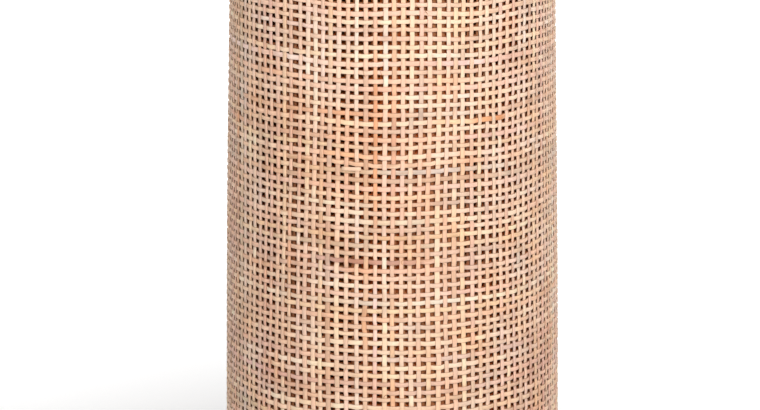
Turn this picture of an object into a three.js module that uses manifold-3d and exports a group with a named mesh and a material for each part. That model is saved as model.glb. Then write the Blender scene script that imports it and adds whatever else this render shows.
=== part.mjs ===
// A roll of open-weave cane webbing, standing on end. One long sheet of woven cane strips is wound on a
// cardboard tube, and two twine ties hold it closed. The tube draws out of the roll along its axis, and
// each tie slips up over the turns, which get thinner towards the top.
//
// Millimetres, +Z up, the roll's axis on Z and the floor at z = 0. The front is -Y. The sheet winds
// anticlockwise seen from above, and its free end is at the back.
import * as THREE from 'three';
import { mergeVertices } from 'three/addons/utils/BufferGeometryUtils.js';
import Module from 'manifold-3d';

const wasm = await Module();
wasm.setup();

// The sheet.
const webbingWidth = 457; // across the sheet, which is the roll's height
const stripThickness = 0.55;
const airGap = 0.54; // between one turn and the next, because the woven sheet is springy
const turns = 40;
const footSlack = 0.058; // the turns build up this share thicker at the floor, and thinner at the top
const freeEndAzimuth = 200; // degrees anticlockwise from the front
const endSetback = 3; // how far short of a whole turn the outer turn stops

// The tube.
const tubeBore = 50.8;
const tubeWall = 3;
const tubeProud = 8; // stands above the webbing at the top

// The ties, each two wraps of twine with a knot and two tails.
const twineDiameter = 2.5;
const tieWraps = 2;
const upperTieBelowTop = 48;
const lowerTieAboveFloor = 48;
const upperKnotAzimuth = 45; // degrees anticlockwise from the front
const lowerKnotAzimuth = 225;
const knotWidth = 12;
const knotHeight = 10;
const tailLength = 26;
const tailSplay = 22; // degrees, each side of straight down

const fitGap = 0.3; // between pieces that touch

// How finely round shapes are cut.
const stepsPerTurn = 120;
const tubeSteps = 64;
const tieSteps = 72;
const twineSteps = 8;

const sheetThickness = 2 * stripThickness; // one strip passes over the other
const turnPitch = sheetThickness + airGap;
const tubeRadius = tubeBore / 2 + tubeWall;
const tubeLength = webbingWidth + tubeProud;

// The front is at -90 degrees in the XY plane.
const azimuthAngle = (azimuth) => THREE.MathUtils.degToRad(azimuth - 90);
const freeEndAngle = azimuthAngle(freeEndAzimuth);

// How far out the middle of the sheet lies after so many turns, halfway up the roll.
const woundRadius = (wound) => tubeRadius + fitGap + sheetThickness / 2 + turnPitch * wound;

// The same radius at another height, where the turns are slacker or tighter.
function slackRadius(radius, z) {
  const slack = 1 + footSlack * (1 - (2 * z) / webbingWidth);
  return tubeRadius + fitGap + (radius - tubeRadius - fitGap) * slack;
}

// The outermost surface of the wound sheet at a height.
const rollRadius = (z) => slackRadius(woundRadius(turns) + sheetThickness / 2, z);

// Points in the XY plane along the sheet, from one number of turns wound to another.
function windingPoints(fromTurn, toTurn, offset) {
  const steps = Math.round((toTurn - fromTurn) * stepsPerTurn);
  return Array.from({ length: steps + 1 }, (_, i) => {
    const wound = fromTurn + ((toTurn - fromTurn) * i) / steps;
    const angle = freeEndAngle + (wound - turns) * 2 * Math.PI;
    const radius = woundRadius(wound) + offset;
    return new THREE.Vector2(radius * Math.cos(angle), radius * Math.sin(angle));
  });
}

// Extrudes an outline to the sheet's width, then slackens it towards the floor.
function woundSolid(shape) {
  const solid = new THREE.ExtrudeGeometry(shape, { depth: webbingWidth, bevelEnabled: false });
  const position = solid.getAttribute('position');
  for (let i = 0; i < position.count; i++) {
    const x = position.getX(i);
    const y = position.getY(i);
    const radius = Math.hypot(x, y);
    const scale = slackRadius(radius, position.getZ(i)) / radius;
    position.setXY(i, x * scale, y * scale);
  }
  return solid;
}

// All the turns under the last one: a thick ring with one spiral step in its outer face.
function innerTurns() {
  const outline = windingPoints(turns - 2, turns - 1, sheetThickness / 2);
  const ring = new THREE.Shape(outline);
  const hollow = new THREE.Path();
  hollow.absarc(0, 0, tubeRadius + fitGap, 0, 2 * Math.PI, true);
  const holePoints = hollow.getPoints(tubeSteps).slice(0, -1);
  ring.holes.push(new THREE.Path(holePoints));
  return woundSolid(ring);
}

// The last turn, from where it leaves the turns beneath to its free end.
function outerTurn() {
  const gapInTurns = (length) => length / (2 * Math.PI * woundRadius(turns));
  const from = turns - 1 + gapInTurns(fitGap);
  const to = turns - gapInTurns(endSetback);
  const outside = windingPoints(from, to, sheetThickness / 2);
  const inside = windingPoints(from, to, -sheetThickness / 2);
  return woundSolid(new THREE.Shape([...outside, ...inside.reverse()]));
}

// The cardboard tube, as one closed profile turned round the axis.
function coreTube() {
  const profile = [
    [tubeRadius - tubeWall, 0],
    [tubeRadius, 0],
    [tubeRadius, tubeLength],
    [tubeRadius - tubeWall, tubeLength],
    [tubeRadius - tubeWall, 0],
  ].map(([r, z]) => new THREE.Vector2(r, z));
  return new THREE.LatheGeometry(profile, tubeSteps).rotateX(Math.PI / 2);
}

// Two wraps side by side, as one band with a groove between them.
function tieBand(z) {
  const radius = twineDiameter / 2;
  const lowest = z - ((tieWraps - 1) * twineDiameter) / 2;
  const inner = (rollRadius(lowest - radius) + fitGap) / Math.cos(Math.PI / tieSteps); // to the flats
  const side = (outwards, wrap) => {
    const middle = lowest + wrap * twineDiameter;
    return Array.from({ length: twineSteps / 2 - 1 }, (_, i) => {
      const turn = -Math.PI / 2 + ((i + 1) * 2 * Math.PI) / twineSteps;
      const reach = outwards * radius * Math.cos(turn);
      return new THREE.Vector2(inner + radius + reach, middle + radius * Math.sin(turn));
    });
  };
  const wraps = Array.from({ length: tieWraps }, (_, wrap) => wrap);
  const outside = wraps.flatMap((wrap) => side(1, wrap));
  const inside = wraps.flatMap((wrap) => side(-1, wrap)).reverse();
  const profile = [...outside, ...inside, outside[0].clone()];
  return new THREE.LatheGeometry(profile, tieSteps).rotateX(Math.PI / 2);
}

// The knot, a flattened ball whose inner side just clears the webbing.
function knot(z, angle) {
  const depth = 2 * twineDiameter;
  const inner = rollRadius(z - knotHeight / 2) + fitGap;
  const ball = new THREE.SphereGeometry(0.5, 14, 8).scale(depth, knotWidth, knotHeight);
  return ball.translate(inner + depth / 2, 0, z).rotateZ(angle);
}

// One tail, lying down the face of the roll from the knot.
function tail(z, angle, splay) {
  const points = Array.from({ length: 6 }, (_, i) => {
    const along = (tailLength * i) / 5;
    const height = z - along * Math.cos(splay);
    const radius = rollRadius(height - twineDiameter) + fitGap + twineDiameter * 0.75;
    const turned = angle + (along * Math.sin(splay)) / radius;
    return new THREE.Vector3(radius * Math.cos(turned), radius * Math.sin(turned), height);
  });
  const section = new THREE.Shape();
  section.absarc(0, 0, twineDiameter / 2, 0, 2 * Math.PI, false);
  return new THREE.ExtrudeGeometry(section, {
    steps: 8,
    curveSegments: twineSteps,
    bevelEnabled: false,
    extrudePath: new THREE.CatmullRomCurve3(points),
  });
}

// A closed geometry as a solid that can be joined to others.
function solidOf(geometry) {
  const bare = geometry.clone();
  bare.deleteAttribute('normal');
  bare.deleteAttribute('uv');
  const merged = mergeVertices(bare, 1e-4);
  return new wasm.Manifold(
    new wasm.Mesh({
      numProp: 3,
      vertProperties: merged.getAttribute('position').array,
      triVerts: new Uint32Array(merged.index.array),
    }),
  );
}

function geometryOf(solid) {
  const { vertProperties, triVerts } = solid.getMesh();
  const geometry = new THREE.BufferGeometry();
  geometry.setAttribute('position', new THREE.BufferAttribute(vertProperties, 3));
  geometry.setIndex(new THREE.BufferAttribute(triVerts, 1));
  geometry.computeVertexNormals();
  return geometry;
}

// A whole tie: the wraps, the knot and both tails in one piece of twine.
function tie(z, azimuth) {
  const angle = azimuthAngle(azimuth);
  const splay = THREE.MathUtils.degToRad(tailSplay);
  const parts = [knot(z, angle), tail(z, angle, splay), tail(z, angle, -splay)];
  const joined = parts.reduce((whole, part) => whole.add(solidOf(part)), solidOf(tieBand(z)));
  return geometryOf(joined);
}

const cane = new THREE.MeshStandardMaterial({ color: 0xe9c4a2, roughness: 0.55, metalness: 0 });
const shadedCane = new THREE.MeshStandardMaterial({ color: 0xcf9f78, roughness: 0.6, metalness: 0 });
const cardboard = new THREE.MeshStandardMaterial({ color: 0xa9825a, roughness: 0.9, metalness: 0 });
const twine = new THREE.MeshStandardMaterial({ color: 0xc9b48c, roughness: 0.95, metalness: 0 });

const roll = new THREE.Group();
function addPiece(name, geometry, material) {
  const mesh = new THREE.Mesh(geometry, material);
  mesh.name = name;
  roll.add(mesh);
}

addPiece('core_tube', coreTube(), cardboard);
addPiece('webbing_inner_turns', innerTurns(), shadedCane);
addPiece('webbing_outer_turn', outerTurn(), cane);
addPiece('tie_upper', tie(webbingWidth - upperTieBelowTop, upperKnotAzimuth), twine);
addPiece('tie_lower', tie(lowerTieAboveFloor, lowerKnotAzimuth), twine);

export default roll;
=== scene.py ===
import math

import bpy
import numpy as np
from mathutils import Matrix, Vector


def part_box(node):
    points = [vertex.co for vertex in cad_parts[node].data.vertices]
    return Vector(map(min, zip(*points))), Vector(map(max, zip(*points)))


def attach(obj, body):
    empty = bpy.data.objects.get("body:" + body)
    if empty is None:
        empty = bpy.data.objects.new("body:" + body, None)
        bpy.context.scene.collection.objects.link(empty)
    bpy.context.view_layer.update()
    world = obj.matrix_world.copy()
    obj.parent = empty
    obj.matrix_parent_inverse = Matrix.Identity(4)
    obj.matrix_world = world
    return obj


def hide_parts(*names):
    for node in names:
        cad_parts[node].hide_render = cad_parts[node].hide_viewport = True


# A roll of open-weave cane webbing standing on end. Lengths here are in millimetres, and every mesh is
# turned to metres as it is made. The axis is Z, the front is -Y, azimuths count anticlockwise from it.

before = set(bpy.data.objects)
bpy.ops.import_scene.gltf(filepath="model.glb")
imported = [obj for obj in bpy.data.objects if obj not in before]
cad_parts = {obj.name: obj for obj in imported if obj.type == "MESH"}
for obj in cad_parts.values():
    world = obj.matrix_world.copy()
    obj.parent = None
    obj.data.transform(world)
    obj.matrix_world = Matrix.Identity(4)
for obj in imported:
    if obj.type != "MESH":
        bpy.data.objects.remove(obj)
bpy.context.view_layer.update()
bpy.ops.object.select_all(action="DESELECT")
metre = 0.001
random = np.random.default_rng(7)


# The roll, as the solid frame has it.

roll = {
    "turns": 40,
    "stripThickness": 0.55,
    "airGap": 0.54,
    "fitGap": 0.3,
    "footSlack": 0.058,
    "freeEndAzimuth": 200,
    "endSetback": 3.0,
    "wobble": 0.45,  # how far the slack turns stand in and out of round
    "sway": 0.45,  # how far the mesh drifts sideways
    "lift": 0.5,  # how far the rows drift up and down
    "tilt": 0.18,  # how far the rows slope across the front, at mid height
    "tiltGrowth": 0.0093,  # and how much more they do for each millimetre further up
    "calmEnds": 40,  # the stretch at each end where the rows level out
}


def boxSize(node):
    low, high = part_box(node)
    return [(b - a) / metre for a, b in zip(low, high)]


tubeRadius = boxSize("core_tube")[0] / 2
tubeLength = boxSize("core_tube")[2]
webbingHeight = boxSize("webbing_outer_turn")[2]
stripThickness = roll["stripThickness"]
turnPitch = 2 * stripThickness + roll["airGap"]
lastTurn = roll["turns"]


def azimuthAngle(azimuth):
    return math.radians(azimuth - 90)


freeEndAngle = azimuthAngle(roll["freeEndAzimuth"])


def angleAt(wound):
    return freeEndAngle + (wound - lastTurn) * 2 * math.pi


def azimuthOf(wound):
    azimuth = roll["freeEndAzimuth"] + (wound - lastTurn) * 360
    return (azimuth + 180) % 360 - 180


def smooth(x):
    x = np.clip(x, 0, 1)
    return x * x * (3 - 2 * x)


# A running total that starts from nothing.
def runningTotal(steps):
    return np.concatenate([[0], np.cumsum(steps)])


def polar(radius, angle, z):
    return np.stack([radius * np.cos(angle), radius * np.sin(angle), z], -1)


def woundRadius(wound):
    return tubeRadius + roll["fitGap"] + stripThickness + turnPitch * wound


def slackRadius(radius, z):
    slack = 1 + roll["footSlack"] * (1 - 2 * z / webbingHeight)
    inner = tubeRadius + roll["fitGap"]
    return inner + (radius - inner) * slack


outerRadius = woundRadius(np.array(float(lastTurn)))


# A smooth field over angle and height that closes on itself round the roll.
def makeRipple(seed, waves, tall):
    draw = np.random.default_rng(seed)
    count = 9
    around = draw.integers(1, waves + 1, count)
    along = draw.uniform(-1, 1, count) * 2 * math.pi / tall
    phase = draw.uniform(0, 2 * math.pi, count)
    weight = draw.uniform(0.5, 1, count) / math.sqrt(count) * 1.6

    def ripple(angle, z):
        total = 0
        for k, q, p, a in zip(around, along, phase, weight):
            total = total + a * np.sin(k * angle + q * z + p)
        return total

    return ripple


outOfRound = makeRipple(11, 7, 300)
sideDrift = makeRipple(12, 9, 220)
heightDrift = makeRipple(13, 8, 260)


# How many turns are wound where the outer turn passes an azimuth.
def outerWound(azimuth):
    return lastTurn - 1 + ((azimuth - roll["freeEndAzimuth"]) / 360) % 1


# Points on the wound sheet, in metres, from turns wound, height and distance out from mid-sheet.
def place(wound, z, out):
    angle = angleAt(wound)
    calm = smooth(z / roll["calmEnds"]) * smooth((webbingHeight - z) / roll["calmEnds"])
    azimuthSine = np.sin(angle + math.pi / 2)
    tilt = -(roll["tilt"] + roll["tiltGrowth"] * (z - webbingHeight / 2)) * azimuthSine
    height = z + calm * (roll["lift"] * heightDrift(angle, z) + tilt)
    radius = slackRadius(woundRadius(wound) + out, z)
    share = (radius - tubeRadius) / (outerRadius - tubeRadius)
    radius = radius + roll["wobble"] * outOfRound(angle, z) * share ** 2
    turned = angle + roll["sway"] * sideDrift(angle, z) * share / outerRadius
    return polar(radius, turned, height) * metre


# Colours and materials.

# A colour given as 0 to 255, turned to the values that shaders take.
def linear(red, green, blue):
    shares = np.array([red, green, blue]) / 255
    return np.where(shares <= 0.04045, shares / 12.92, ((shares + 0.055) / 1.055) ** 2.4)


caneColours = {  # the colour of a strip, and how many strips in a hundred have it
    "cream": (linear(250, 214, 182), 26),
    "straw": (linear(247, 207, 170), 20),
    "peach": (linear(245, 201, 170), 24),
    "pink tan": (linear(237, 190, 163), 14),
    "tan": (linear(228, 181, 150), 6),
    "ivory": (linear(254, 228, 203), 8),
    "grey green": (linear(212, 184, 152), 1),
    "orange": (linear(236, 174, 130), 1),
}
shades = np.array([colour for colour, _ in caneColours.values()])
weights = np.array([share for _, share in caneColours.values()], float)
meanColour = (shades * weights[:, None]).sum(0) / weights.sum()

colouring = {
    "brightnessSpread": 0.06,  # between strips
    "hueSpread": (0.01, 0.022, 0.06),  # the same for red, green and blue
    "hueLimits": (0.86, 1.09),
    "meanShare": 0.04,  # a strip's colour is part the mean
    "ownShare": 0.46,  # part its own
    "changingShare": 0.5,  # and part what it turns to along its length
    "warmth": (0.008, -0.024, -0.058),  # what a warm patch does to red, green and blue
    "paleness": 0.028,
    "cast": (1, 0.992, 1.015),  # over the whole weave
    "floatSpread": 0.06,  # between one stretch over the weave and the next
    "limits": (0.002, 0.97),
    "knots": (0.5, 0.24, 0.1, 1),
    "edgeFade": (4, 8),  # a deeper turn's shade starts so far in from an edge, and grows over so much
    "freeEndFade": 6,  # degrees to each side of the free end
}


def pickColours(count, seed):
    draw = np.random.default_rng(seed)
    chosen = shades[draw.choice(len(shades), count, p=weights / weights.sum())]
    chosen = chosen * draw.normal(1, colouring["brightnessSpread"], (count, 1))
    return chosen * draw.normal(1, colouring["hueSpread"], (count, 3)).clip(*colouring["hueLimits"])


# Soft patches over the sheet where the cane is warmer or paler, about plus and minus one.
def softPatches(azimuth, height, seed):
    draw = np.random.default_rng(seed)
    waves = 30
    value = 0
    for _ in range(waves):
        around = draw.integers(2, 22)
        upward = draw.uniform(0.05, 0.26) * draw.choice((-1, 1))
        value = value + np.sin(np.radians(azimuth) * around + height * upward + draw.uniform(0, 6.3))
    return value / (waves / 2) ** 0.5


# Short words for building a material's node tree.
class Nodes:

    def __init__(self, name):
        self.material = bpy.data.materials.new(name)
        self.material.use_nodes = True
        self.tree = self.material.node_tree
        self.shader = self.tree.nodes["Principled BSDF"]

    def fill(self, node, inputs):
        for key, value in inputs.items():
            if isinstance(value, bpy.types.NodeSocket):
                self.tree.links.new(value, node.inputs[key])
            else:
                node.inputs[key].default_value = value
        return node

    def add(self, kind, inputs, **settings):
        node = self.tree.nodes.new("ShaderNode" + kind)
        for key, value in settings.items():
            setattr(node, key, value)
        return self.fill(node, inputs)

    def where(self):
        return self.add("TexCoord", {}).outputs["Object"]

    def work(self, operation, *values):
        return self.add("Math", dict(enumerate(values)), operation=operation).outputs[0]

    def fromAxis(self, where):
        flat = self.add("VectorMath", {0: where, 1: (1, 1, 0)}, operation="MULTIPLY").outputs[0]
        return self.add("VectorMath", {0: flat}, operation="LENGTH").outputs["Value"]

    # A value taken from one range to another.
    def remap(self, value, before, after, curve="LINEAR"):
        ranges = {"From Min": before[0], "From Max": before[1], "To Min": after[0], "To Max": after[1]}
        return self.add("MapRange", {"Value": value, **ranges}, interpolation_type=curve).outputs[0]

    def noise(self, where, stretch, scale, detail, slant=0):
        mapped = self.add("Mapping", {"Vector": where, "Scale": stretch, "Rotation": (0, 0, slant)})
        inputs = {"Vector": mapped.outputs["Vector"], "Scale": scale, "Detail": detail}
        return self.add("TexNoise", inputs).outputs["Fac"]

    def scaled(self, colour, amount):
        return self.add("VectorMath", {0: colour, "Scale": amount}, operation="SCALE").outputs[0]

    # The finished surface, with its relief, how strong that is, and its depth in metres.
    def surface(self, colour, roughness, shine, relief, strength, depth):
        bump = self.add("Bump", {"Height": relief, "Strength": strength, "Distance": depth})
        self.fill(self.shader, {"Base Color": colour, "Roughness": roughness,
                                "Specular IOR Level": shine, "Normal": bump.outputs["Normal"]})
        return self.material


# Split cane: the strip's own colour, fine fibres along it, small marks, and a skin that shines a little.
def makeCane(name, settings):
    n = Nodes(name)
    tint = n.add("Attribute", {}, attribute_name="stripColour").outputs["Color"]
    along = n.add("UVMap", {}, uv_map="strip").outputs["UV"]
    fibres = n.noise(along, (0.25, 5, 1), 1, 4)
    mottle = n.noise(along, (0.08, 0.6, 1), 1, 3)
    knots = n.noise(along, (0.035, 0.25, 1), 1, 1)
    fibreShade = n.remap(fibres, (0.3, 0.7), (1 - settings["fibre"], 1 + settings["fibre"] * 0.5))
    mottleShade = n.remap(mottle, (0.25, 0.75), (1 - settings["mottle"], 1 + settings["mottle"]))
    shaded = n.scaled(tint, n.work("MULTIPLY", fibreShade, mottleShade))
    knotted = n.remap(knots, (0.66, 0.8), (0, settings["marks"]))
    mixed = n.add("Mix", {0: knotted, 6: shaded, 7: colouring["knots"]}, data_type="RGBA")
    roughness = n.remap(fibres, (0, 1), (settings["roughness"] - 0.1, settings["roughness"] + 0.12))
    return n.surface(mixed.outputs[2], roughness, settings["shine"], fibres, 0.35, 0.00025)


caneSkin = makeCane("cane", {"fibre": 0.12, "mottle": 0.07, "marks": 0.45,
                             "roughness": 0.5, "shine": 0.3})
caneShaded = makeCane("cane beneath", {"fibre": 0.14, "mottle": 0.1, "marks": 0.35,
                                       "roughness": 0.6, "shine": 0.25})
print("materials made")


# Woven strips.

# A strip seen end on: across and out, in half widths and half thicknesses.
flatSection = [(-1, -1), (1, -1), (0.95, 1), (-0.95, 1)]
crownedSection = [(-1, -1), (1, -1), (1, 0.45), (0.84, 1), (-0.84, 1), (-1, 0.45)]
outerCane = {"section": crownedSection, "material": caneSkin}
innerCane = {"section": flatSection, "material": caneShaded}


# A mesh from its points and its faces' corners, with its maps and colours.
def addMesh(name, points, loops, sizes, material, uv=None, bake=None, colours=None):
    mesh = bpy.data.meshes.new(name)
    mesh.vertices.add(len(points))
    mesh.vertices.foreach_set("co", points.astype(np.float32).ravel())
    mesh.loops.add(len(loops))
    mesh.loops.foreach_set("vertex_index", loops.astype(np.int32))
    mesh.polygons.add(len(sizes))
    mesh.polygons.foreach_set("loop_start", runningTotal(sizes)[:-1].astype(np.int32))
    mesh.update(calc_edges=True)
    for label, corners in (("strip", uv), ("OFBake", bake)):
        if corners is not None:
            layer = mesh.uv_layers.new(name=label)
            layer.data.foreach_set("uv", corners.astype(np.float32).ravel())
    if colours is not None:
        attribute = mesh.attributes.new("stripColour", "FLOAT_COLOR", "POINT")
        rgba = np.concatenate([colours, np.ones((len(colours), 1))], 1).astype(np.float32)
        attribute.data.foreach_set("color", rgba.ravel())
    mesh.materials.append(material)
    piece = bpy.data.objects.new(name, mesh)
    bpy.context.scene.collection.objects.link(piece)
    return piece


# Strips as one piece. along is "rows" or "columns". runs holds, for each strip and station, its turns
# wound, height, distance out, half width and half thickness, and colours a colour for each of those.
def addStrips(name, along, runs, cane, colours, lanes=1):
    wound, height, out, halfWidth, halfThick = (np.broadcast_to(run, runs[1].shape) for run in runs)
    count, stations = wound.shape
    across, outward = np.array(cane["section"]).T
    corners = len(across)
    isRow = along == "rows"
    radius = woundRadius(wound)[..., None]
    reach = halfWidth[..., None] * across
    if isRow:
        turned = wound[..., None] + 0 * reach
        lifted = height[..., None] + reach
        length = (wound - wound[:, :1]) * 2 * math.pi * radius[..., 0]
    else:
        turned = wound[..., None] + reach / (2 * math.pi * radius)
        lifted = height[..., None] + 0 * reach
        length = height - height[:, :1]
    points = place(turned, lifted, out[..., None] + halfThick[..., None] * outward)

    index = np.arange(count * stations * corners).reshape(count, stations, corners)
    following = np.roll(index, -1, axis=2)
    quads = np.stack([index[:, :-1], following[:, :-1], following[:, 1:], index[:, 1:]], -1)
    caps = [index[:, 0, ::-1], index[:, -1]]
    if isRow:
        quads = quads[..., ::-1]
        caps = [cap[:, ::-1] for cap in caps]
    loops = np.concatenate([faces.reshape(-1) for faces in (quads, *caps)])
    sizes = np.concatenate([np.full(quads[..., 0].size, 4), np.full(2 * count, corners)])

    # Where each face's corners come on a map, from places along the strips, round them, and a start for each.
    def faceMap(alongStrip, roundStrip, starts):
        shape = (count, stations - 1, corners)
        near, far = (np.broadcast_to(a[..., None], shape) for a in (alongStrip[:, :-1], alongStrip[:, 1:]))
        left, right = (np.broadcast_to(a, shape) + starts[:, None, None]
                       for a in (roundStrip[:-1], roundStrip[1:]))
        sides = np.stack([np.stack([near, near, far, far], -1), np.stack([left, right, right, left], -1)], -1)
        parts = [sides[..., ::-1, :] if isRow else sides]
        for end, backwards in ((0, not isRow), (-1, isRow)):
            u = np.broadcast_to(alongStrip[:, end, None], (count, corners))
            v = (roundStrip[:-1][::-1] if backwards else roundStrip[:-1]) + starts[:, None]
            parts.append(np.stack([u, v], -1))
        return np.concatenate([part.reshape(-1, 2) for part in parts])

    # The grain's map is in millimetres. The other gives each strip a band of its own, mostly for its face.
    strip = np.arange(count)
    side = np.hypot((np.roll(across, -1) - across) * halfWidth.mean(),
                    (np.roll(outward, -1) - outward) * halfThick.mean())
    faceSide = side * np.where((outward > 0.05) & (np.roll(outward, -1) > 0.05), 2.5, 1)
    grain = faceMap(length + strip[:, None] * 137.0, runningTotal(side), strip * 11.3)
    share = (length - length.min(1, keepdims=True)) / np.ptp(length, axis=1)[:, None].clip(1e-6)
    share = (strip[:, None] % lanes + 0.01 + share * 0.98) / lanes
    bands = -(-count // lanes)
    band = runningTotal(faceSide) / faceSide.sum() * 0.86 / bands
    ownBands = faceMap(share, band, (strip // lanes + 0.07) / bands)

    # The corners at the strips' sides are coloured darker, so the sides and underside carry painted shade
    # along each strip's edges as well as the cut cane's own browner colour.
    sideShades = np.where(np.abs(across) > 0.98, weave["sideShade"], 1)
    colours = np.broadcast_to(np.clip(colours, *colouring["limits"]), (count, stations, 3))
    colours = (colours[:, :, None] * sideShades[:, None]).reshape(-1, 3)
    piece = addMesh(name, points.reshape(-1, 3), loops, sizes, cane["material"], grain, ownBands, colours)
    print(name, "made with", count, "strips and", int((sizes - 2).sum()), "triangles")
    return piece


# The weave.

weave = {
    "rowWidth": 2.38,
    "columnWidth": 2.45,
    "rowPitch": 4.6,
    "columnPitch": 5.0,
    "edgeFringe": 6.0,  # how far the cross strips run past the last row
    "rowOverlap": 0.42,  # how far a strip stands in or out where it crosses
    "columnOverlap": 0.14,
    "rowJitter": 0.17,  # how far a whole strip lies from its even place
    "columnJitter": 0.3,
    "rowBend": 0.12,  # how far it drifts along its length
    "columnBend": 0.16,
    "crossingJitter": 0.07,
    "widthSpread": 0.07,
    "widthLimits": (0.8, 1.2),
    "widthWave": 0.03,
    "levelShare": 0.47,  # a strip is level to each side of a crossing for this share of the other's width
    "footFray": (1.6, 0.7),  # how uneven the columns' lower ends are, and the share of them that is
    "topFray": 2.2,
    "freeEndFray": 4,
    "sideShade": 0.66,  # the split sides and underside are coloured darker than the skin: partly the cut cane's own browner colour, partly painted shade along each strip's edges
}
rowCount = int((webbingHeight - 2 * weave["edgeFringe"]) / weave["rowPitch"]) + 1
rowStart = (webbingHeight - (rowCount - 1) * weave["rowPitch"]) / 2
rowHeights = rowStart + np.arange(rowCount) * weave["rowPitch"]
rowHeights = rowHeights + random.normal(0, weave["rowJitter"], rowCount)

# How the meshes of the last two turns line up: how many columns the turn beneath lags, by azimuth.
columnLag = [(-160, 3), (-110, 2.5), (-62, 2.05), (-50, 2.0), (-36, 1.55), (-16, 1.0), (12, 0.5),
             (35, 0.0), (58, -0.5), (110, -0.8), (200, -1)]


# Where the columns of a turn cross mid height, as turns wound. turn is how many are wound at its end.
def columnTurns(turn, lagged):
    start, end = turn - 1, turn
    fine = np.linspace(start, end, 2000)
    perTurn = round(2 * math.pi * float(woundRadius(turn - 0.5)) / weave["columnPitch"])
    phase = (fine - start) * perTurn
    if lagged is not None:
        azimuths = (fine - start) * 360 + roll["freeEndAzimuth"] - 360
        phase = phase + np.interp(azimuths, [a for a, _ in lagged], [b for _, b in lagged])
    middles = np.arange(math.ceil(phase[0] - 0.5), math.floor(phase[-1] - 0.5) + 1) + 0.5
    return np.interp(middles, phase, fine)


# Where the weave is pinched or pushed aside: azimuth, height, reach round and up, and how far the rows go up
# and the columns go round there.
nudges = [
    (-2, 275, 13, 2.6, -1.0, 0),
    (-2, 270.5, 13, 2.2, 0.5, 0),
    (-7.6, 187, 1.8, 7, 0, -1.7),
    (-4.6, 184, 1.5, 9, 0, 0.6),
    (-48, 255, 1.6, 24, 0, 0.9),
    (-51, 255, 1.6, 24, 0, -0.5),
    (33, 296, 3, 6, 0.5, 0.5),
    (27, 350, 2, 20, 0, -0.6),
    (-27, 219, 3, 12, 0.5, 0.4),
    (15, 164, 2.5, 14, -0.4, 0.6),
    (95, 210, 12, 3, -0.9, 0),
    (-100, 300, 3, 14, 0.5, 1.0),
    (160, 260, 14, 3, 0.8, 0),
]


# How near places are to a middle, fading out over a reach round and up.
def nearness(azimuth, height, middle, level, reach, up):
    return np.exp(-((azimuth - middle) / reach) ** 2 - ((height - level) / up) ** 2)


# Turns wound and height of every crossing, each strip with its own small drift along its length.
def crossings(columns, rows, seed, nudged=False):
    draw = np.random.default_rng(seed)
    turnLength = 2 * math.pi * woundRadius(columns.mean())
    rowBend, columnBend = weave["rowBend"], weave["columnBend"]
    angles = angleAt(columns)
    wound = np.broadcast_to(columns + draw.normal(0, weave["columnJitter"], len(columns)) / turnLength,
                            (len(rows), len(columns))).copy()
    height = np.broadcast_to(rows[:, None], wound.shape).copy()
    for wave in (2, 5, 9):
        phase = draw.uniform(0, 2 * math.pi, len(rows))[:, None]
        height += rowBend * draw.normal(0, 1, (len(rows), 1)) * np.sin(wave * angles[None] + phase)
    for wave in (1, 2, 4):
        phase = draw.uniform(0, 2 * math.pi, len(columns))[None]
        bend = np.sin(wave * math.pi * rows[:, None] / webbingHeight * 2 + phase)
        wound += columnBend * draw.normal(0, 1, (1, len(columns))) * bend / turnLength
    height += draw.normal(0, weave["crossingJitter"], height.shape)
    wound += draw.normal(0, weave["crossingJitter"], wound.shape) / turnLength
    if nudged:
        azimuth = azimuthOf(wound)
        level = height.copy()
        for middle, at, reach, up, rise, shift in nudges:
            near = nearness(azimuth, level, middle, at, reach, up)
            height += rise * near
            wound += shift * near / turnLength
    return wound, height


# 1 where the row passes over the column, -1 where it passes under.
def overUnder(rows, columns):
    return np.where((np.arange(rows)[:, None] + np.arange(columns)[None]) % 2 == 0, 1.0, -1.0)


# Two arrays of stations taken in turn.
def spreadOut(a, b):
    return np.stack([a, b], -1).reshape(a.shape[0], -1)


# Where the cane is stained: azimuth, height, reach round and up, and what that does to its colour.
stains = [
    (-14, 285, 22, 20, (0.99, 0.91, 0.85)),
    (-4, 238, 36, 28, (0.96, 0.91, 0.88)),
    (38, 305, 18, 45, (1.02, 1.04, 1.08)),
    (8, 348, 26, 30, (1.03, 1.05, 1.07)),
    (-28, 340, 16, 30, (1.02, 1.02, 1.05)),
    (-48, 168, 14, 34, (0.96, 0.91, 0.91)),
    (58, 140, 16, 34, (0.95, 0.91, 0.93)),
    (-40, 280, 12, 20, (0.98, 0.92, 0.89)),
    (120, 180, 30, 50, (0.98, 0.94, 0.9)),
    (-130, 330, 35, 40, (1.02, 1.03, 1.05)),
    (175, 90, 30, 40, (0.97, 0.93, 0.92)),
]
# Single rows that differ for a stretch: height, azimuth, reach round, and what that does to the colour.
oddRows = [
    (297, 35, 7, (0.9, 0.64, 0.44)),
    (297, 39.5, 2, (0.88, 0.72, 0.62)),
    (297, 22, 8, (0.98, 0.86, 0.72)),
    (270.5, 10, 24, (0.9, 0.95, 0.99)),
    (242, -4, 30, (0.9, 0.96, 0.93)),
    (237.5, -2, 26, (0.92, 0.96, 0.92)),
    (220.5, -8, 21, (0.74, 0.66, 0.69)),
    (311, 23, 7, (1.08, 1.16, 1.28)),
    (328, 26, 10, (1.06, 1.12, 1.2)),
    (280, -16, 9, (1.0, 0.88, 0.7)),
    (140, 150, 60, (0.98, 0.86, 0.72)),
    (322, -95, 30, (0.86, 0.8, 0.8)),
    (90, -70, 40, (1.0, 0.84, 0.66)),
]
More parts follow.
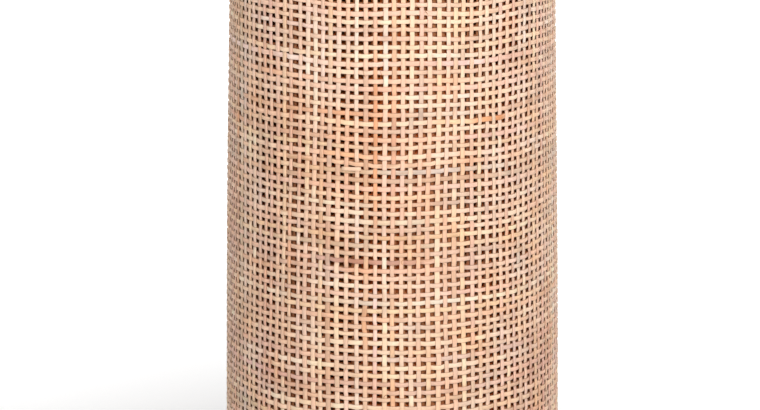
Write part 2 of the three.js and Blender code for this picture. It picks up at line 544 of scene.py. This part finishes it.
# The same for columns: azimuth, height, reach up.
oddColumns = [
    (-6.5, 296, 52, (0.99, 0.8, 0.62)),
    (-7.5, 186, 18, (0.98, 0.82, 0.66)),
    (-23, 152, 38, (1.1, 1.18, 1.32)),
    (-23, 330, 14, (1.08, 1.16, 1.26)),
    (-36, 226, 22, (1.0, 0.84, 0.76)),
    (13.5, 324, 40, (1.05, 1.1, 1.16)),
    (48, 258, 50, (1.04, 1.08, 1.16)),
    (130, 230, 90, (1.0, 0.82, 0.62)),
    (-140, 160, 80, (0.9, 0.86, 0.84)),
]


def stainColours(colours, azimuth, height):
    for middle, level, reach, up, tint in stains:
        near = nearness(azimuth, height, middle, level, reach, up)
        colours = colours * (1 + near[..., None] * (np.array(tint) - 1))
    return colours


def markStrips(colours, across, along, marks, pitch):
    for at, middle, reach, tint in marks:
        apart = np.abs(across.mean(1) - at)
        strip = apart.argmin()
        if apart[strip] < 0.6 * pitch:
            near = np.exp(-((along[strip] - middle) / reach) ** 4)
            colours[strip] *= 1 + near[:, None] * (np.array(tint) - 1)
    return colours


# A colour at each station of each strip: its own, and others that it turns to along the way.
def stripColours(azimuth, height, anchors, seed, tone):
    draw = np.random.default_rng(seed)
    count, stations = height.shape
    own = pickColours(count, seed)[:, None]
    turnsTo = pickColours(count * (anchors + 2), seed + 500).reshape(count, anchors + 2, 3)
    along = np.linspace(0, anchors, stations)[None] + draw.uniform(0, 0.999, (count, 1))
    before = along.astype(int)
    share = smooth(along - before)[..., None]
    strip = np.arange(count)[:, None]
    changing = turnsTo[strip, before] * (1 - share) + turnsTo[strip, before + 1] * share
    colours = (colouring["meanShare"] * meanColour + colouring["ownShare"] * own
               + colouring["changingShare"] * changing)
    warmth = softPatches(azimuth, height, 61)[..., None] * np.array(colouring["warmth"])
    paleness = softPatches(azimuth, height, 62)[..., None] * colouring["paleness"]
    colours = colours * (1 + warmth + paleness) * np.array(colouring["cast"])
    floats = draw.normal(1, colouring["floatSpread"], (count, stations // 2 + 1))
    colours = colours * np.repeat(floats, 2, axis=1)[:, 1:stations + 1, None]
    # The shade of a turn beneath fades out at the ends and at the free end, where light gets in.
    fadeStart, fadeReach = colouring["edgeFade"]
    inside = smooth((np.minimum(height, webbingHeight - height) - fadeStart) / fadeReach)
    fromFreeEnd = (azimuth - roll["freeEndAzimuth"] + 180) % 360 - 180
    inside = inside * (1 - np.exp(-(fromFreeEnd / colouring["freeEndFade"]) ** 4))
    tint = 1 + inside[..., None] * (np.array(tone) - 1)
    return colours * tint


# Strips with their colours, and the stains and odd strips where a turn has them.
def colouredStrips(name, along, wound, height, out, width, seed, look):
    azimuth = azimuthOf(wound)
    colours = stripColours(azimuth, height, 10 if along == "rows" else 8, seed, look["tone"])
    if look["marked"]:
        colours = stainColours(colours, azimuth, height)
        if along == "rows":
            colours = markStrips(colours, height, azimuth, oddRows, weave["rowPitch"])
        else:
            pitchDegrees = weave["columnPitch"] / outerRadius * 180 / math.pi
            colours = markStrips(colours, azimuth, height, oddColumns, pitchDegrees)
    return addStrips(name, along, (wound, height, out, width / 2, stripThickness / 2), look["cane"], colours)


def stripWidths(draw, width, count):
    return width * draw.normal(1, weave["widthSpread"], (count, 1)).clip(*weave["widthLimits"])


# Rows between two places on the winding, each over and under the columns.
def rowStrips(name, wound, height, sign, ends, seed, look):
    draw = np.random.default_rng(seed)
    count = len(wound)
    turnLength = 2 * math.pi * woundRadius(wound.mean())
    half = weave["levelShare"] * weave["columnWidth"] / turnLength
    start = ends[0] + 0 * wound[:, :1]
    uneven = draw.uniform(0, weave["freeEndFray"], (count, 1)) / turnLength
    end = ends[1] - uneven * (ends[1] > lastTurn - 0.5)
    stations = np.concatenate([start, spreadOut(wound - half, wound + half), end], 1)
    level = np.concatenate([height[:, :1], np.repeat(height, 2, axis=1), height[:, -1:]], 1)
    out = np.repeat(sign, 2, axis=1) * weave["rowOverlap"]
    out = np.concatenate([0 * out[:, :1], out, 0 * out[:, :1]], 1)
    width = stripWidths(draw, weave["rowWidth"], count)
    wave = np.sin(stations * 2 * math.pi * 6 + draw.uniform(0, 6, (count, 1)))
    width = width * (1 + weave["widthWave"] * wave)
    return colouredStrips(name, "rows", stations, level, out, width, seed, look)


# Columns from edge to edge of the webbing, under and over the rows, with a loose end at each edge.
def columnStrips(name, wound, height, sign, seed, look):
    draw = np.random.default_rng(seed)
    wound, height, sign = wound.T, height.T, sign.T
    count = len(wound)
    half = weave["levelShare"] * weave["rowWidth"]
    footFray, frayedShare = weave["footFray"]
    low = draw.uniform(0.0, footFray, (count, 1)) * (draw.random((count, 1)) < frayedShare)
    high = webbingHeight - draw.uniform(0.0, weave["topFray"], (count, 1))
    stations = np.concatenate([low, spreadOut(height - half, height + half), high], 1)
    wound = np.concatenate([wound[:, :1], np.repeat(wound, 2, axis=1), wound[:, -1:]], 1)
    out = -np.repeat(sign, 2, axis=1) * weave["columnOverlap"]
    out = np.concatenate([0.3 * out[:, :1], out, 0.3 * out[:, -1:]], 1)
    width = stripWidths(draw, weave["columnWidth"], count)
    wave = np.sin(stations / 18 + draw.uniform(0, 6, (count, 1)))
    width = width * (1 + weave["widthWave"] * wave)
    return colouredStrips(name, "columns", wound, stations, out, width, seed, look)


# One turn of webbing, its rows and its columns each in so many pieces.
def weaveTurn(name, turn, ends, seed, look, parts=1, lagged=None):
    columns = columnTurns(turn, lagged)
    if turn == lastTurn:
        columns = columns[columns < ends[1] - 5 / (2 * math.pi * outerRadius)]
    wound, height = crossings(columns, rowHeights, seed, look["marked"])
    sign = overUnder(*wound.shape)
    made = []
    for part, rows in enumerate(np.array_split(np.arange(len(rowHeights)), parts)):
        made.append(rowStrips(f"{name}Rows{part + 1}", wound[rows], height[rows], sign[rows], ends,
                              seed * 10 + part, look))
    for part, picked in enumerate(np.array_split(np.arange(len(columns)), parts)):
        made.append(columnStrips(f"{name}Columns{part + 1}", wound[:, picked], height[:, picked],
                                 sign[:, picked], seed * 10 + 5 + part, look))
    return made


turnLooks = {  # tone is painted shade: the turns that lie deeper are coloured darker and browner for the shade they lie in
    "outer": {"cane": outerCane, "tone": (1, 1, 1), "marked": True},
    "second": {"cane": innerCane, "tone": (0.45, 0.25, 0.145), "marked": False},
    "third": {"cane": innerCane, "tone": (0.85, 0.26, 0.06), "marked": False},
    "first": {"cane": innerCane, "tone": (0.8, 0.66, 0.55), "marked": False},
}
outerEnds = (lastTurn - 1, lastTurn - roll["endSetback"] / (2 * math.pi * outerRadius))
outerTurn = weaveTurn("outerTurn", lastTurn, outerEnds, 101, turnLooks["outer"], parts=2)
secondTurn = weaveTurn("secondTurn", lastTurn - 1, (lastTurn - 2, lastTurn - 1), 102, turnLooks["second"],
                       lagged=columnLag)
thirdTurn = weaveTurn("thirdTurn", lastTurn - 2, (lastTurn - 3, lastTurn - 2), 103, turnLooks["third"])
firstTurn = weaveTurn("firstTurn", 1, (0, 1), 104, turnLooks["first"])
innerPieces = secondTurn + thirdTurn + firstTurn
print("outer, second, third and first turns woven")

# The ends of the turns between the first and the last three: the last two rows, and the columns' ends.
edge = {
    "stubFoot": 3.0,
    "pitch": 5.0,
    "upperFringe": 2.4,
    "lowerFringe": 1.5,
    "columnJitter": 0.35,
    "rowJitter": 0.12,
    "toneRun": 12,  # columns that a row keeps its colour over
    "lanes": 16,
    "tone": (0.92, 0.86, 0.78),
}


def makeEdge(name, atTop, seed):
    draw = np.random.default_rng(seed)
    fromTurn, toTurn = 1.0, lastTurn - 3.0
    fine = np.linspace(fromTurn, toTurn, 4000)
    middles = (woundRadius(fine[1:]) + woundRadius(fine[:-1])) / 2
    length = runningTotal(middles * np.diff(fine) * 2 * math.pi)
    columns = np.interp(np.arange(edge["pitch"] / 2, length[-1] - 2, edge["pitch"]), length, fine)
    count = len(columns)
    columns = columns + draw.normal(0, edge["columnJitter"], count) / (2 * math.pi * woundRadius(columns))
    rows = rowHeights[-2:] if atTop else rowHeights[1::-1]
    up = 1 if atTop else -1
    fringe = draw.uniform(0, edge["upperFringe"] if atTop else edge["lowerFringe"], count)
    tip = webbingHeight - fringe if atTop else fringe
    levels = [rows[0] - up * edge["stubFoot"] + 0 * tip, rows[0] + 0 * tip, rows[1] + 0 * tip, tip]
    height = np.stack(levels if atTop else levels[::-1], 1)
    sign = np.where(np.arange(count) % 2 == 0, 1.0, -1.0)
    lean = np.array([-0.3, 1, -1, -0.3] if atTop else [-0.3, -1, 1, -0.3])
    out = -sign[:, None] * lean * weave["columnOverlap"]
    width = stripWidths(draw, weave["columnWidth"], count)
    colours = pickColours(count, seed)[:, None] * np.array(edge["tone"])
    runs = (columns[:, None], height, out, width / 2, stripThickness / 2)
    stubs = addStrips(name + "Stubs", "columns", runs, innerCane, colours, edge["lanes"])

    height = rows[:, None] + draw.normal(0, edge["rowJitter"], (2, count))
    out = np.stack([sign, -sign]) * weave["rowOverlap"]
    run = edge["toneRun"]
    colours = np.repeat(pickColours(count // run + 2, seed + 1), run, axis=0)[:count]
    colours = np.stack([colours, np.roll(colours, 50, axis=0)]) * np.array(edge["tone"])
    runs = (columns, height, out, weave["rowWidth"] / 2, stripThickness / 2)
    rings = addStrips(name + "Rows", "rows", runs, innerCane, colours)
    return [stubs, rings]


innerPieces += makeEdge("upperEdge", True, 201) + makeEdge("lowerEdge", False, 202)


# Faces turned outwards, and shaded smooth where they meet at less than an angle.
def smoothFaces(piece, smoothAngle):
    bpy.ops.object.select_all(action="DESELECT")
    bpy.context.view_layer.objects.active = piece
    piece.select_set(True)
    bpy.ops.object.mode_set(mode="EDIT")
    bpy.ops.mesh.select_all(action="SELECT")
    bpy.ops.mesh.normals_make_consistent(inside=False)
    bpy.ops.object.mode_set(mode="OBJECT")
    bpy.ops.object.shade_smooth_by_angle(angle=math.radians(smoothAngle))
    bpy.ops.object.select_all(action="DESELECT")


# A closed outline turned about the roll's axis, in edit mode. The outline is radius and height, in mm.
def makeTurned(name, outline, steps, material, smoothAngle):
    bpy.ops.object.select_all(action="DESELECT")
    bpy.ops.mesh.primitive_circle_add(vertices=len(outline), radius=0.01, fill_type="NOTHING")
    piece = bpy.context.object
    piece.name = name
    for vertex, (radius, height) in zip(piece.data.vertices, outline):
        vertex.co = (radius * metre, 0, height * metre)
    bpy.ops.object.mode_set(mode="EDIT")
    bpy.ops.mesh.select_all(action="SELECT")
    bpy.ops.mesh.spin(steps=steps, angle=2 * math.pi, center=(0, 0, 0), axis=(0, 0, 1))
    bpy.ops.mesh.select_all(action="SELECT")
    bpy.ops.mesh.remove_doubles(threshold=0.00001)
    bpy.ops.object.mode_set(mode="OBJECT")
    smoothFaces(piece, smoothAngle)
    piece.data.materials.append(material)
    return piece


# The turns between, packed, as one body under the open ones, coloured dark brown as painted shade in place of
# their pale cane.
packed = {"endRecess": 15.5, "clearance": 1.15, "innerClearance": 0.4, "steps": 160,
          "paintedShadeBrown": (0.92, 0.32, 0.09)}


def makePackedMaterial():
    n = Nodes("packed turns")
    where = n.where()
    # Painted shade in rings, darkest where one turn meets the next, broken up by random streaks; the same
    # rings and streaks give the relief.
    rings = n.work("SINE", n.work("MULTIPLY", n.fromAxis(where), 2 * math.pi / (turnPitch * metre)))
    streaks = n.noise(where, (1, 1, 1), 260, 3)
    amount = n.work("MULTIPLY", n.remap(rings, (-1, 1), (0.35, 1)), n.remap(streaks, (0.35, 0.65), (0.5, 1)))
    return n.surface(n.scaled(packed["paintedShadeBrown"], amount), 0.95, 0.1, amount, 0.6, 0.0008)


def makePackedTurns():
    low, high = packed["endRecess"], webbingHeight - packed["endRecess"]
    inside = woundRadius(1) + weave["rowOverlap"] + stripThickness / 2 + packed["innerClearance"]
    outside = woundRadius(lastTurn - 3) - packed["clearance"]
    outline = [(slackRadius(inside, z), z) for z in np.linspace(low, high, 5)]
    outline += [(slackRadius(outside, z), z) for z in np.linspace(high, low, 5)]
    return makeTurned("packedTurns", outline, packed["steps"], makePackedMaterial(), 30)


innerPieces.append(makePackedTurns())
print("ends and packed turns made")

# The tube.
tube = {"wall": 3.0, "edgeRound": 0.35, "steps": 192, "seamRise": 118, "plies": 6,
        "kraft": (0.47, 0.265, 0.13)}


# Kraft card wound on a slant, with a seam where each wind meets the next, and plies at its cut ends.
def makeCardboard():
    n = Nodes("kraft cardboard")
    where = n.where()
    split = n.add("SeparateXYZ", {0: where})
    turn = n.work("MULTIPLY", n.work("ARCTAN2", split.outputs["Y"], split.outputs["X"]), 1 / (2 * math.pi))
    climb = n.work("MULTIPLY", split.outputs["Z"], 1 / (tube["seamRise"] * metre))
    share = n.work("FRACT", n.work("ADD", turn, climb))
    plyWaves = 2 * math.pi * tube["plies"] / (tube["wall"] * metre)
    ply = n.work("SINE", n.work("MULTIPLY", n.fromAxis(where), plyWaves))
    pulp = n.noise(where, (500, 500, 120), 1, 5)
    blotch = n.noise(where, (1, 1, 1), 14, 2)
    shade = n.remap(share, (0, 0.012), (0.6, 1))
    for other in (n.remap(share, (0.1, 0.16), (0.93, 1)), n.remap(ply, (-1, 1), (0.8, 1.06)),
                  n.remap(pulp, (0.3, 0.7), (0.88, 1.08)), n.remap(blotch, (0.3, 0.7), (0.93, 1.05))):
        shade = n.work("MULTIPLY", shade, other)
    return n.surface(n.scaled(tube["kraft"], shade), 0.85, 0.25, n.work("ADD", shade, pulp), 0.4, 0.0003)


def makeTube():
    inner, bevel = tubeRadius - tube["wall"], tube["edgeRound"]
    corner = 0.3 * bevel
    outline = [(inner, bevel), (inner + corner, corner), (inner + bevel, 0), (tubeRadius - bevel, 0),
               (tubeRadius - corner, corner)]
    outline += [(tubeRadius, z) for z in np.linspace(bevel, tubeLength - bevel, 9)]
    outline += [(tubeRadius - corner, tubeLength - corner), (tubeRadius - bevel, tubeLength),
                (inner + bevel, tubeLength), (inner + corner, tubeLength - corner)]
    outline += [(inner, z) for z in np.linspace(tubeLength - bevel, bevel, 9)[:-1]]
    return makeTurned("cardboardTube", outline, tube["steps"], makeCardboard(), 50)


coreTube = makeTube()
print("tube made")


# Twine and loose fibres, as tubes swept along their routes.

def unit(vectors):
    return vectors / np.linalg.norm(vectors, axis=1, keepdims=True)


# A tube along each route, in mm, with a section that turns as it goes. Fields of each route: points, radius
# at each point, section (angle and share of the radius), turns of twist per mm, and a colour.
def sweepTubes(name, routes, material):
    allPoints, loops, sizes, uvs, colours = [], [], [], [], []
    first = 0
    for points, radius, section, twist, colour in routes:
        steps, corners = len(points), len(section)
        ahead = unit(np.gradient(points, axis=0))
        side = unit(np.cross(ahead, unit(points * np.array([1, 1, 0]))))
        up = np.cross(side, ahead)
        along = runningTotal(np.linalg.norm(np.diff(points, axis=0), axis=1))
        sectionAngles, shares = np.array(section).T
        angles = (sectionAngles + (2 * math.pi * twist * along)[:, None])[..., None]
        reach = (np.broadcast_to(radius, (steps,))[:, None] * shares)[..., None]
        ring = points[:, None] + reach * (np.cos(angles) * up[:, None] + np.sin(angles) * side[:, None])
        index = first + np.arange(steps * corners).reshape(steps, corners)
        following = np.roll(index, -1, axis=1)
        quads = np.stack([index[:-1], index[1:], following[1:], following[:-1]], -1)
        loops.append(quads.reshape(-1))
        sizes.append(np.full(quads[..., 0].size, 4))
        loops.append(np.concatenate([index[0], index[-1][::-1]]))
        sizes.append(np.array([corners, corners]))
        girth = np.arange(corners + 1) / corners
        start, end = along[:-1, None], along[1:, None]
        u = np.broadcast_to(np.stack([start, end, end, start], -1), quads.shape)
        v = np.stack([girth[:-1], girth[:-1], girth[1:], girth[1:]], -1)
        v = np.broadcast_to(v[None], quads.shape)
        uvs.append(np.stack([u, v], -1).reshape(-1, 2))
        uvs.append(np.zeros((2 * corners, 2)))
        allPoints.append(ring.reshape(-1, 3))
        colours.append(np.tile(colour, (steps * corners, 1)))
        first += steps * corners
    points = np.concatenate(allPoints) * metre
    piece = addMesh(name, points, np.concatenate(loops), np.concatenate(sizes), material,
                    np.concatenate(uvs), None, np.concatenate(colours))
    smoothFaces(piece, 70)
    print(name, "made with", len(routes), "strands")
    return piece


twine = {
    "diameter": 2.5,
    "gap": 0.35,
    "twist": 1 / 7.5,
    "step": 1.3,
    "upper": {"height": 409, "knot": 45, "body": "upper_tie", "node": "tie_upper"},
    "lower": {"height": 48, "knot": 225, "body": "lower_tie", "node": "tie_lower"},
    "knotSize": (1.55, 1.3, 1.35),  # round, up and out
    "knotStand": 2.6,
    "tail": 24,
    "splay": 22,  # degrees, each side of straight down
    "frayed": 7,  # yarns at the end of a tail
    "hairs": 70,
    "hairThickness": 0.07,
    "hairLift": (0.1, 0.9),
    "jute": linear(224, 182, 130),
}
pliedSection = [(a, 0.74 + 0.26 * abs(math.cos(a))) for a in (2 * math.pi * k / 12 for k in range(12))]
roundSection = [(2 * math.pi * k / 5, 1.0) for k in range(5)]


def makeTwineMaterial():
    n = Nodes("jute twine")
    tint = n.add("Attribute", {}, attribute_name="stripColour").outputs["Color"]
    along = n.add("UVMap", {}, uv_map="strip").outputs["UV"]
    strands = n.noise(along, (0.5, 9, 1), 1.6, 5, 0.35)
    coloured = n.scaled(tint, n.remap(strands, (0.3, 0.7), (0.66, 1.14)))
    n.shader.inputs["Sheen Weight"].default_value = 0.25
    return n.surface(coloured, 0.92, 0.2, strands, 0.7, 0.0004)


def makeTie(name, settings, material, seed):
    draw = np.random.default_rng(seed)
    half = twine["diameter"] / 2
    level, start = settings["height"], azimuthAngle(settings["knot"])
    outermost = woundRadius(lastTurn) + stripThickness
    jute = twine["jute"]

    # How far out the outer turn's face is. The twine slopes down from the free end to the turn beneath.
    def radiusAt(angle, z):
        turned = ((angle - freeEndAngle) / (2 * math.pi)) % 1
        step = np.maximum(turned, 1 - smooth(turned / 0.03))
        face = slackRadius(outermost - turnPitch * (1 - step), z)
        return face + roll["wobble"] * outOfRound(angle, z) + twine["gap"]

    steps = int(4 * math.pi * outermost / twine["step"])
    share = np.linspace(0.0, 2.0, steps)
    angle = start + 2 * math.pi * share
    bandRadius = radiusAt(angle, level - 2 * half) + half
    climb = smooth((share - 0.97) / 0.06) * 2 - 1
    wraps = polar(bandRadius, angle, level + half * climb)
    routes = [(wraps, half, pliedSection, twine["twist"], jute)]

    # The knot, a thread that goes over and under itself three times.
    t = np.linspace(0, 2 * math.pi, 73)
    wide, tall, deep = twine["knotSize"]
    knotRadius = radiusAt(start, level - 5) + twine["knotStand"]
    around = (np.sin(t) + 2 * np.sin(2 * t)) * wide
    upward = (np.cos(t) - 2 * np.cos(2 * t)) * tall
    outward = -np.sin(3 * t) * deep
    knot = polar(knotRadius + outward, start + around / knotRadius, level + upward)
    routes.append((knot, half * 0.92, pliedSection, twine["twist"], jute * 0.97))

    # The two tails, which end in loose yarns.
    for hand in (-1, 1):
        length = np.linspace(0, twine["tail"] * (1 if hand < 0 else 0.9), 22)
        splay = math.radians(twine["splay"]) * hand
        wave = 0.5 * np.sin(length / 4.2 + hand)
        z = level - length * math.cos(splay)
        radius = radiusAt(start, z - half) + half * 1.5
        a = start + (length * math.sin(splay) + wave) / radius
        routes.append((polar(radius, a, z), half * 0.95, pliedSection, twine["twist"], jute))
        for yarn in range(twine["frayed"]):
            reach = np.linspace(-3, draw.uniform(2.0, 3.6), 7)
            spread = (yarn - (twine["frayed"] - 1) / 2) * 0.3
            zs = z[-1] - reach * math.cos(splay)
            rs = radius[-1] + draw.uniform(-0.7, 0.6) * smooth(reach / 4 + 0.5)
            turned = a[-1] + (reach * math.sin(splay) + spread * smooth((reach + 3) / 5)
                              + draw.normal(0, 0.12)) / radius[-1]
            thin = 0.34 * (1 - 0.6 * smooth(reach / 4))
            shade = draw.uniform(0.85, 1.12)
            routes.append((polar(rs, turned, zs), thin, roundSection, 0, jute * shade))

    # Loose hairs that stand off the wraps.
    for _ in range(twine["hairs"]):
        a0, climbed = draw.uniform(0, 2 * math.pi), draw.uniform(-2, 2)
        reach = np.linspace(0, 1, 5)
        r = radiusAt(a0, level - 2 * half) + 1.9 * half + reach * draw.uniform(*twine["hairLift"])
        a = a0 + reach * draw.uniform(-3.5, 3.5) / outermost
        z = level + climbed + reach * draw.uniform(-1.2, 1.2)
        routes.append((polar(r, a, z), twine["hairThickness"], roundSection, 0, jute * 1.1))
    piece = sweepTubes(name, routes, material)
    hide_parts(settings["node"])
    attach(piece, settings["body"])
    return piece


twineMaterial = makeTwineMaterial()
makeTie("upperTwine", twine["upper"], twineMaterial, 301)
makeTie("lowerTwine", twine["lower"], twineMaterial, 302)

# Torn fibres that curl in the holes and stand off the sides: azimuth and height.
fibres = {
    "placed": [(-9, 325), (10.6, 358), (7.8, 362), (-3.3, 325), (-12.4, 316), (-21.4, 290), (-44.6, 203),
               (-15.6, 158), (-16, 269), (4, 220), (22, 213), (-62, 182), (-70, 258), (66, 272)],
    "scattered": 90,
    "thickness": 0.13,
    "halfLengths": (1.2, 2.3),
    "bulge": 1.2,
    "tones": [[206, 150, 100], [228, 190, 148], [176, 116, 70]],
}


def makeFibres():
    draw = np.random.default_rng(401)
    places = [(azimuth + draw.normal(0, 0.3), height) for azimuth, height in fibres["placed"]]
    for _ in range(fibres["scattered"]):
        places.append((draw.uniform(-180, 180), draw.uniform(20, webbingHeight - 20)))
    routes = []
    for azimuth, height in places:
        reach = np.linspace(-1, 1, 8)
        heading = draw.uniform(0, math.pi)
        long = draw.uniform(*fibres["halfLengths"])
        bulge = draw.uniform(-fibres["bulge"], fibres["bulge"])
        across = long * reach * math.cos(heading) - bulge * (1 - reach ** 2) * math.sin(heading)
        up = long * reach * math.sin(heading) + bulge * (1 - reach ** 2) * math.cos(heading)
        lift = 0.45 + draw.uniform(0.1, 0.9) * (reach + 1) / 2
        wound = outerWound(azimuth) + across / (2 * math.pi * outerRadius)
        points = place(wound, height + up, lift + 0.1) / metre
        tone = linear(*draw.choice(fibres["tones"]))
        thin = fibres["thickness"] * draw.uniform(0.7, 1.2) * (1 - 0.35 * (reach + 1) / 2)
        routes.append((points, thin, roundSection, 0, tone))
    return sweepTubes("looseFibres", routes, caneSkin)


looseFibres = makeFibres()


# Ends of strips where a new one was laid in: height, and the azimuths it runs between.
splice = {
    "places": [(271.6, -17, -10.5), (197, 101, 109), (331, -121, -113), (120, 168, 175)],
    "halfWidthShare": 0.44,
    "halfThickness": 0.14,
    "standOff": 0.62,
    "arch": 0.36,
    "paler": 1.04,
}


def makeSplices():
    stations = 6
    share = np.linspace(0, 1, stations)[None]
    level, low, high = np.array(splice["places"], float).T[..., None]
    wound = outerWound(low + share * (high - low))
    height = level + 0.5 * (share - 0.5)
    out = splice["standOff"] + splice["arch"] * np.sin(share * math.pi * 1.1)
    halfWidth = weave["rowWidth"] * splice["halfWidthShare"]
    runs = (wound, height, out, halfWidth, splice["halfThickness"])
    return addStrips("splicedEnds", "rows", runs, outerCane, meanColour * splice["paler"])


splicedEnds = makeSplices()

for piece in outerTurn + [looseFibres, splicedEnds]:
    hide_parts("webbing_outer_turn")
    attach(piece, "roll")
for piece in innerPieces:
    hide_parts("webbing_inner_turns")
    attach(piece, "roll")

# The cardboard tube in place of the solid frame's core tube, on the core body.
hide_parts("core_tube")
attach(coreTube, "core")


# Floor, light and camera, in metres.

stage = {
    "floorSize": 30,
    "floorShade": 0.82,
    "worldStrength": 0.14,
    "key": {"azimuth": 11, "elevation": 38, "distance": 2.4, "size": 1.35, "watts": 51},
    "background": {"place": (0, 1.5, 1.7), "size": 2.6, "watts": 30},  # lights the floor behind, from above
    "cameraPitch": 14.19,
    "cameraDistance": 1.7965,
    "aimSideways": -0.00646,
    "lens": 147.9,
}


# The floor glows a little far off and behind, where a studio's would curve up into the wall.
def makeFloor():
    bpy.ops.mesh.primitive_plane_add(size=stage["floorSize"], location=(0, 0, -0.0005))
    floor = bpy.context.object
    floor.name = "floor"
    n = Nodes("floor")
    where = n.where()
    away = n.add("VectorMath", {0: where}, operation="LENGTH").outputs["Value"]
    depth = n.add("SeparateXYZ", {0: where}).outputs["Y"]
    glow = n.work("ADD", n.remap(away, (0.5, 1.6), (0, 0.5), "SMOOTHSTEP"),
                  n.remap(depth, (0.1, 0.5), (0.05, 0.45), "SMOOTHSTEP"))
    n.fill(n.shader, {"Base Color": (*[stage["floorShade"]] * 3, 1), "Roughness": 0.9,
                      "Emission Color": (1, 1, 1, 1), "Emission Strength": glow})
    floor.data.materials.append(n.material)


def addLamp(name, location, settings):
    bpy.ops.object.light_add(type="AREA", location=location)
    lamp = bpy.context.object
    lamp.name = name
    lamp.data.size = settings["size"]
    lamp.data.energy = settings["watts"]
    return lamp


def makeLights():
    world = bpy.data.worlds.new("studio")
    bpy.context.scene.world = world
    world.use_nodes = True
    world.node_tree.nodes["Background"].inputs["Color"].default_value = (1, 1, 1, 1)
    world.node_tree.nodes["Background"].inputs["Strength"].default_value = stage["worldStrength"]
    key = stage["key"]
    turned, raised = math.radians(key["azimuth"]), math.radians(key["elevation"])
    level = math.cos(raised)
    spot = Vector((math.sin(turned) * level, -math.cos(turned) * level, math.sin(raised))) * key["distance"]
    lamp = addLamp("key", Vector((0, 0, 0.23)) + spot, key)
    lamp.rotation_euler = (-spot).to_track_quat("-Z", "Y").to_euler()
    addLamp("background", stage["background"]["place"], stage["background"])
    bpy.context.scene.view_settings.view_transform = "Standard"


# Above the roll's middle, looking a little down on it, close enough to leave its ends out of view.
def makeCamera():
    pitch = math.radians(stage["cameraPitch"])
    aim = Vector((stage["aimSideways"], 0, webbingHeight / 2 * metre))
    away = Vector((0, -math.cos(pitch), math.sin(pitch))) * stage["cameraDistance"]
    bpy.ops.object.camera_add(location=aim + away, rotation=(math.pi / 2 - pitch, 0, 0))
    camera = bpy.context.object
    camera.data.lens = stage["lens"]
    camera.data.sensor_width = 36
    bpy.context.scene.camera = camera


makeFloor()
makeLights()
makeCamera()
print("stage set")
